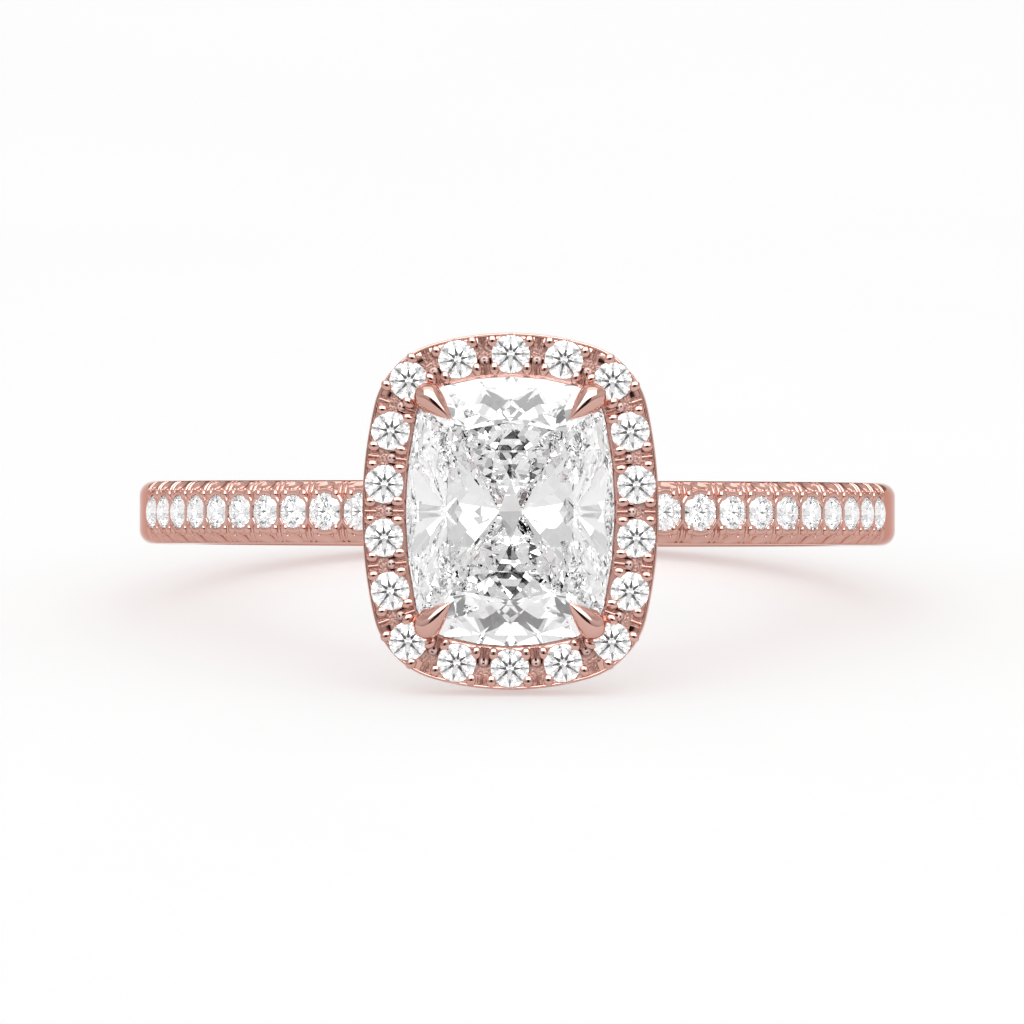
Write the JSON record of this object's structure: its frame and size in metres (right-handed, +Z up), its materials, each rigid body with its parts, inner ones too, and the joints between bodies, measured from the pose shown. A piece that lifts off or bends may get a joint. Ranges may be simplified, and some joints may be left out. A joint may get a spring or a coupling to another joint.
{
  "type": "halo ring",
  "caption": "Rose gold ring with an elongated cushion-cut centre stone in claws, a halo of round stones round it and a narrow band set with small stones along its front half.",
  "frame": {"origin": "Middle of the ring's bounding box, on the surface that it lies on", "axes": "+Z up from that surface, -Y towards the head with the centre stone, +X to the right of someone who looks at the head"},
  "size_m": [0.02, 0.0238, 0.0095],
  "materials": {
    "rose_gold": "polished",
    "clear_stone": "polished"
  },
  "bodies": {
    "root": {"ring_metal": "rose_gold", "center_stone": "clear_stone", "halo_stone_01": "clear_stone", "halo_stone_02": "clear_stone", "halo_stone_03": "clear_stone", "halo_stone_04": "clear_stone", "halo_stone_05": "clear_stone", "halo_stone_06": "clear_stone", "halo_stone_07": "clear_stone", "halo_stone_08": "clear_stone", "halo_stone_09": "clear_stone", "halo_stone_10": "clear_stone", "halo_stone_11": "clear_stone", "halo_stone_12": "clear_stone", "halo_stone_13": "clear_stone", "halo_stone_14": "clear_stone", "halo_stone_15": "clear_stone", "halo_stone_16": "clear_stone", "halo_stone_17": "clear_stone", "halo_stone_18": "clear_stone", "right_stone_01": "clear_stone", "right_stone_02": "clear_stone", "right_stone_03": "clear_stone", "right_stone_04": "clear_stone", "right_stone_05": "clear_stone", "right_stone_06": "clear_stone", "right_stone_07": "clear_stone", "right_stone_08": "clear_stone", "right_stone_09": "clear_stone", "right_stone_10": "clear_stone", "left_stone_01": "clear_stone", "left_stone_02": "clear_stone", "left_stone_03": "clear_stone", "left_stone_04": "clear_stone", "left_stone_05": "clear_stone", "left_stone_06": "clear_stone", "left_stone_07": "clear_stone", "left_stone_08": "clear_stone", "left_stone_09": "clear_stone", "left_stone_10": "clear_stone"}
  },
  "joints": []
}
